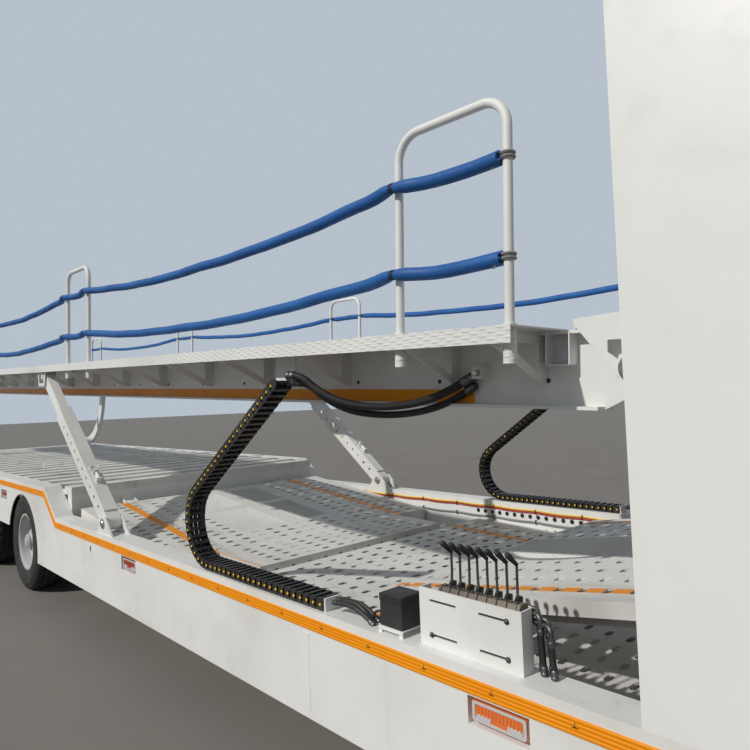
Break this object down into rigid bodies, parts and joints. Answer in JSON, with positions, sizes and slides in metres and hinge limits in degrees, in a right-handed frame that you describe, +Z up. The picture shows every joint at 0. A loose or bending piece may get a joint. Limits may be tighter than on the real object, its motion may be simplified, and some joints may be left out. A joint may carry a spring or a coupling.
{
  "type": "car transporter semi-trailer",
  "caption": "Two-deck car transporter semi-trailer with lifting upper deck, tilting wheel platforms, telescoping posts, guard hoops and free-turning wheels.",
  "frame": {"origin": "on the ground, in the middle of the trailer's length and width", "axes": "+X forward to the kingpin, +Y to the trailer's left, +Z up"},
  "size_m": [13.75, 2.5, 2.93],
  "materials": {
    "white_paint": "satin",
    "orange_paint": "satin",
    "steel": "satin",
    "black_paint": "satin",
    "rubber": "matte",
    "red_lens": "gloss",
    "side_lens": "gloss",
    "blue_foam": "matte",
    "valve_metal": "satin",
    "black_plastic": "satin",
    "tyre": "matte",
    "rim_silver": "satin"
  },
  "bodies": {
    "chassis": {"side_frame_left": "white_paint", "side_frame_right": "white_paint", "rub_strips": "orange_paint", "side_lamps": "side_lens", "well_floor": "white_paint", "well_members": "white_paint", "bogie_frame": "white_paint", "bogie_beams": "white_paint", "bogie_deck": "white_paint", "rear_frame": "white_paint", "rear_lamps": "red_lens", "neck": "white_paint", "neck_top": "white_paint", "kingpin": "steel", "landing_legs": "black_paint", "front_columns": "white_paint", "column_covers": "white_paint", "axles": "black_paint", "suspension_arms": "black_paint", "air_springs": "rubber", "valve_stands": "white_paint", "valve_banks": "valve_metal", "valve_levers": "black_plastic", "control_boxes": "black_plastic", "cable_carriers": "black_plastic"},
    "carriage": {"front_carriage": "white_paint"},
    "upper_deck": {"deck_beams": "white_paint", "beam_strips": "orange_paint", "deck_crossbeams": "white_paint", "deck_tracks": "white_paint", "deck_walkways": "white_paint", "guard_hoops": "white_paint", "guard_ropes": "blue_foam", "arm_rails": "white_paint", "deck_hose_left": "rubber", "deck_hose_right": "rubber"},
    "front_platform": {"nose_frame": "white_paint", "nose_deck": "white_paint"},
    "well_platform": {"platform_a": "white_paint", "ramp_mesh": "white_paint"},
    "neck_platform": {"platform_b": "white_paint", "tray_mesh": "white_paint"},
    "post_outer_left": {"post_outer_left": "white_paint"},
    "post_outer_right": {"post_outer_right": "white_paint"},
    "post_inner_left": {"post_inner_left": "steel"},
    "post_inner_right": {"post_inner_right": "steel"},
    "arm_left": {"arm_left": "white_paint"},
    "arm_right": {"arm_right": "white_paint"},
    "wheel_front_left": {"tyre_front_left": "tyre", "rim_front_left": "rim_silver"},
    "wheel_front_right": {"tyre_front_right": "tyre", "rim_front_right": "rim_silver"},
    "wheel_rear_left": {"tyre_rear_left": "tyre", "rim_rear_left": "rim_silver"},
    "wheel_rear_right": {"tyre_rear_right": "tyre", "rim_rear_right": "rim_silver"}
  },
  "joints": [
    {"name": "deck_lift", "type": "slide", "parent": "chassis", "child": "carriage", "axis": [0, 0, 1], "range_m": [0, 0.75], "deforming": ["cable_carriers"]},
    {"name": "deck_tilt", "type": "hinge", "parent": "carriage", "child": "upper_deck", "pos_m": [3.79, 0, 1.53], "axis": [0, 1, 0], "range_deg": [-2.31, 0.01]},
    {"name": "front_platform_tilt", "type": "hinge", "parent": "carriage", "child": "front_platform", "pos_m": [4.31, 0, 1.53], "axis": [0, -1, 0], "range_deg": [-3, 10]},
    {"name": "well_platform_tilt", "type": "hinge", "parent": "chassis", "child": "well_platform", "pos_m": [-0.4, 0, 0.728], "axis": [0, -1, 0], "range_deg": [0, 9]},
    {"name": "neck_platform_tilt", "type": "hinge", "parent": "chassis", "child": "neck_platform", "pos_m": [5.35, 0, 1.105], "axis": [0, 1, 0], "range_deg": [-1, 8]},
    {"name": "post_swing_left", "type": "hinge", "parent": "chassis", "child": "post_outer_left", "pos_m": [0.5, 1.18, 0.765], "axis": [0, 1, 0], "range_deg": [-0.1, 12.88]},
    {"name": "post_extend_left", "type": "slide", "parent": "post_outer_left", "child": "post_inner_left", "axis": [-0.7937, 0, 0.6084], "range_m": [-0.002, 0.4005]},
    {"name": "post_swing_right", "type": "hinge", "parent": "chassis", "child": "post_outer_right", "pos_m": [0.5, -1.18, 0.765], "axis": [0, 1, 0], "range_deg": [-0.1, 12.88]},
    {"name": "post_extend_right", "type": "slide", "parent": "post_outer_right", "child": "post_inner_right", "axis": [-0.7937, 0, 0.6084], "range_m": [-0.002, 0.4005]},
    {"name": "arm_swing_left", "type": "hinge", "parent": "chassis", "child": "arm_left", "pos_m": [-6.6, 0.95, 1], "axis": [0, -1, 0], "range_deg": [-0.1, 20.73]},
    {"name": "arm_swing_right", "type": "hinge", "parent": "chassis", "child": "arm_right", "pos_m": [-6.6, -0.95, 1], "axis": [0, -1, 0], "range_deg": [-0.1, 20.73]},
    {"name": "wheel_spin_front_left", "type": "hinge", "parent": "chassis", "child": "wheel_front_left", "pos_m": [-1.335, 1.1175, 0.398], "axis": [0, 1, 0], "continuous": true},
    {"name": "wheel_spin_front_right", "type": "hinge", "parent": "chassis", "child": "wheel_front_right", "pos_m": [-1.335, -1.1175, 0.398], "axis": [0, 1, 0], "continuous": true},
    {"name": "wheel_spin_rear_left", "type": "hinge", "parent": "chassis", "child": "wheel_rear_left", "pos_m": [-2.645, 1.1175, 0.398], "axis": [0, 1, 0], "continuous": true},
    {"name": "wheel_spin_rear_right", "type": "hinge", "parent": "chassis", "child": "wheel_rear_right", "pos_m": [-2.645, -1.1175, 0.398], "axis": [0, 1, 0], "continuous": true}
  ],
  "couplings": [
    {"joint": "deck_tilt", "follows": "deck_lift", "rad_per_m": -0.053523},
    {"joint": "post_swing_left", "follows": "deck_lift", "rad_per_m": 0.29737},
    {"joint": "post_extend_left", "follows": "deck_lift", "ratio": 0.53136},
    {"joint": "arm_swing_left", "follows": "deck_lift", "rad_per_m": 0.48},
    {"joint": "post_swing_right", "follows": "deck_lift", "rad_per_m": 0.29737},
    {"joint": "post_extend_right", "follows": "deck_lift", "ratio": 0.53136},
    {"joint": "arm_swing_right", "follows": "deck_lift", "rad_per_m": 0.48}
  ]
}
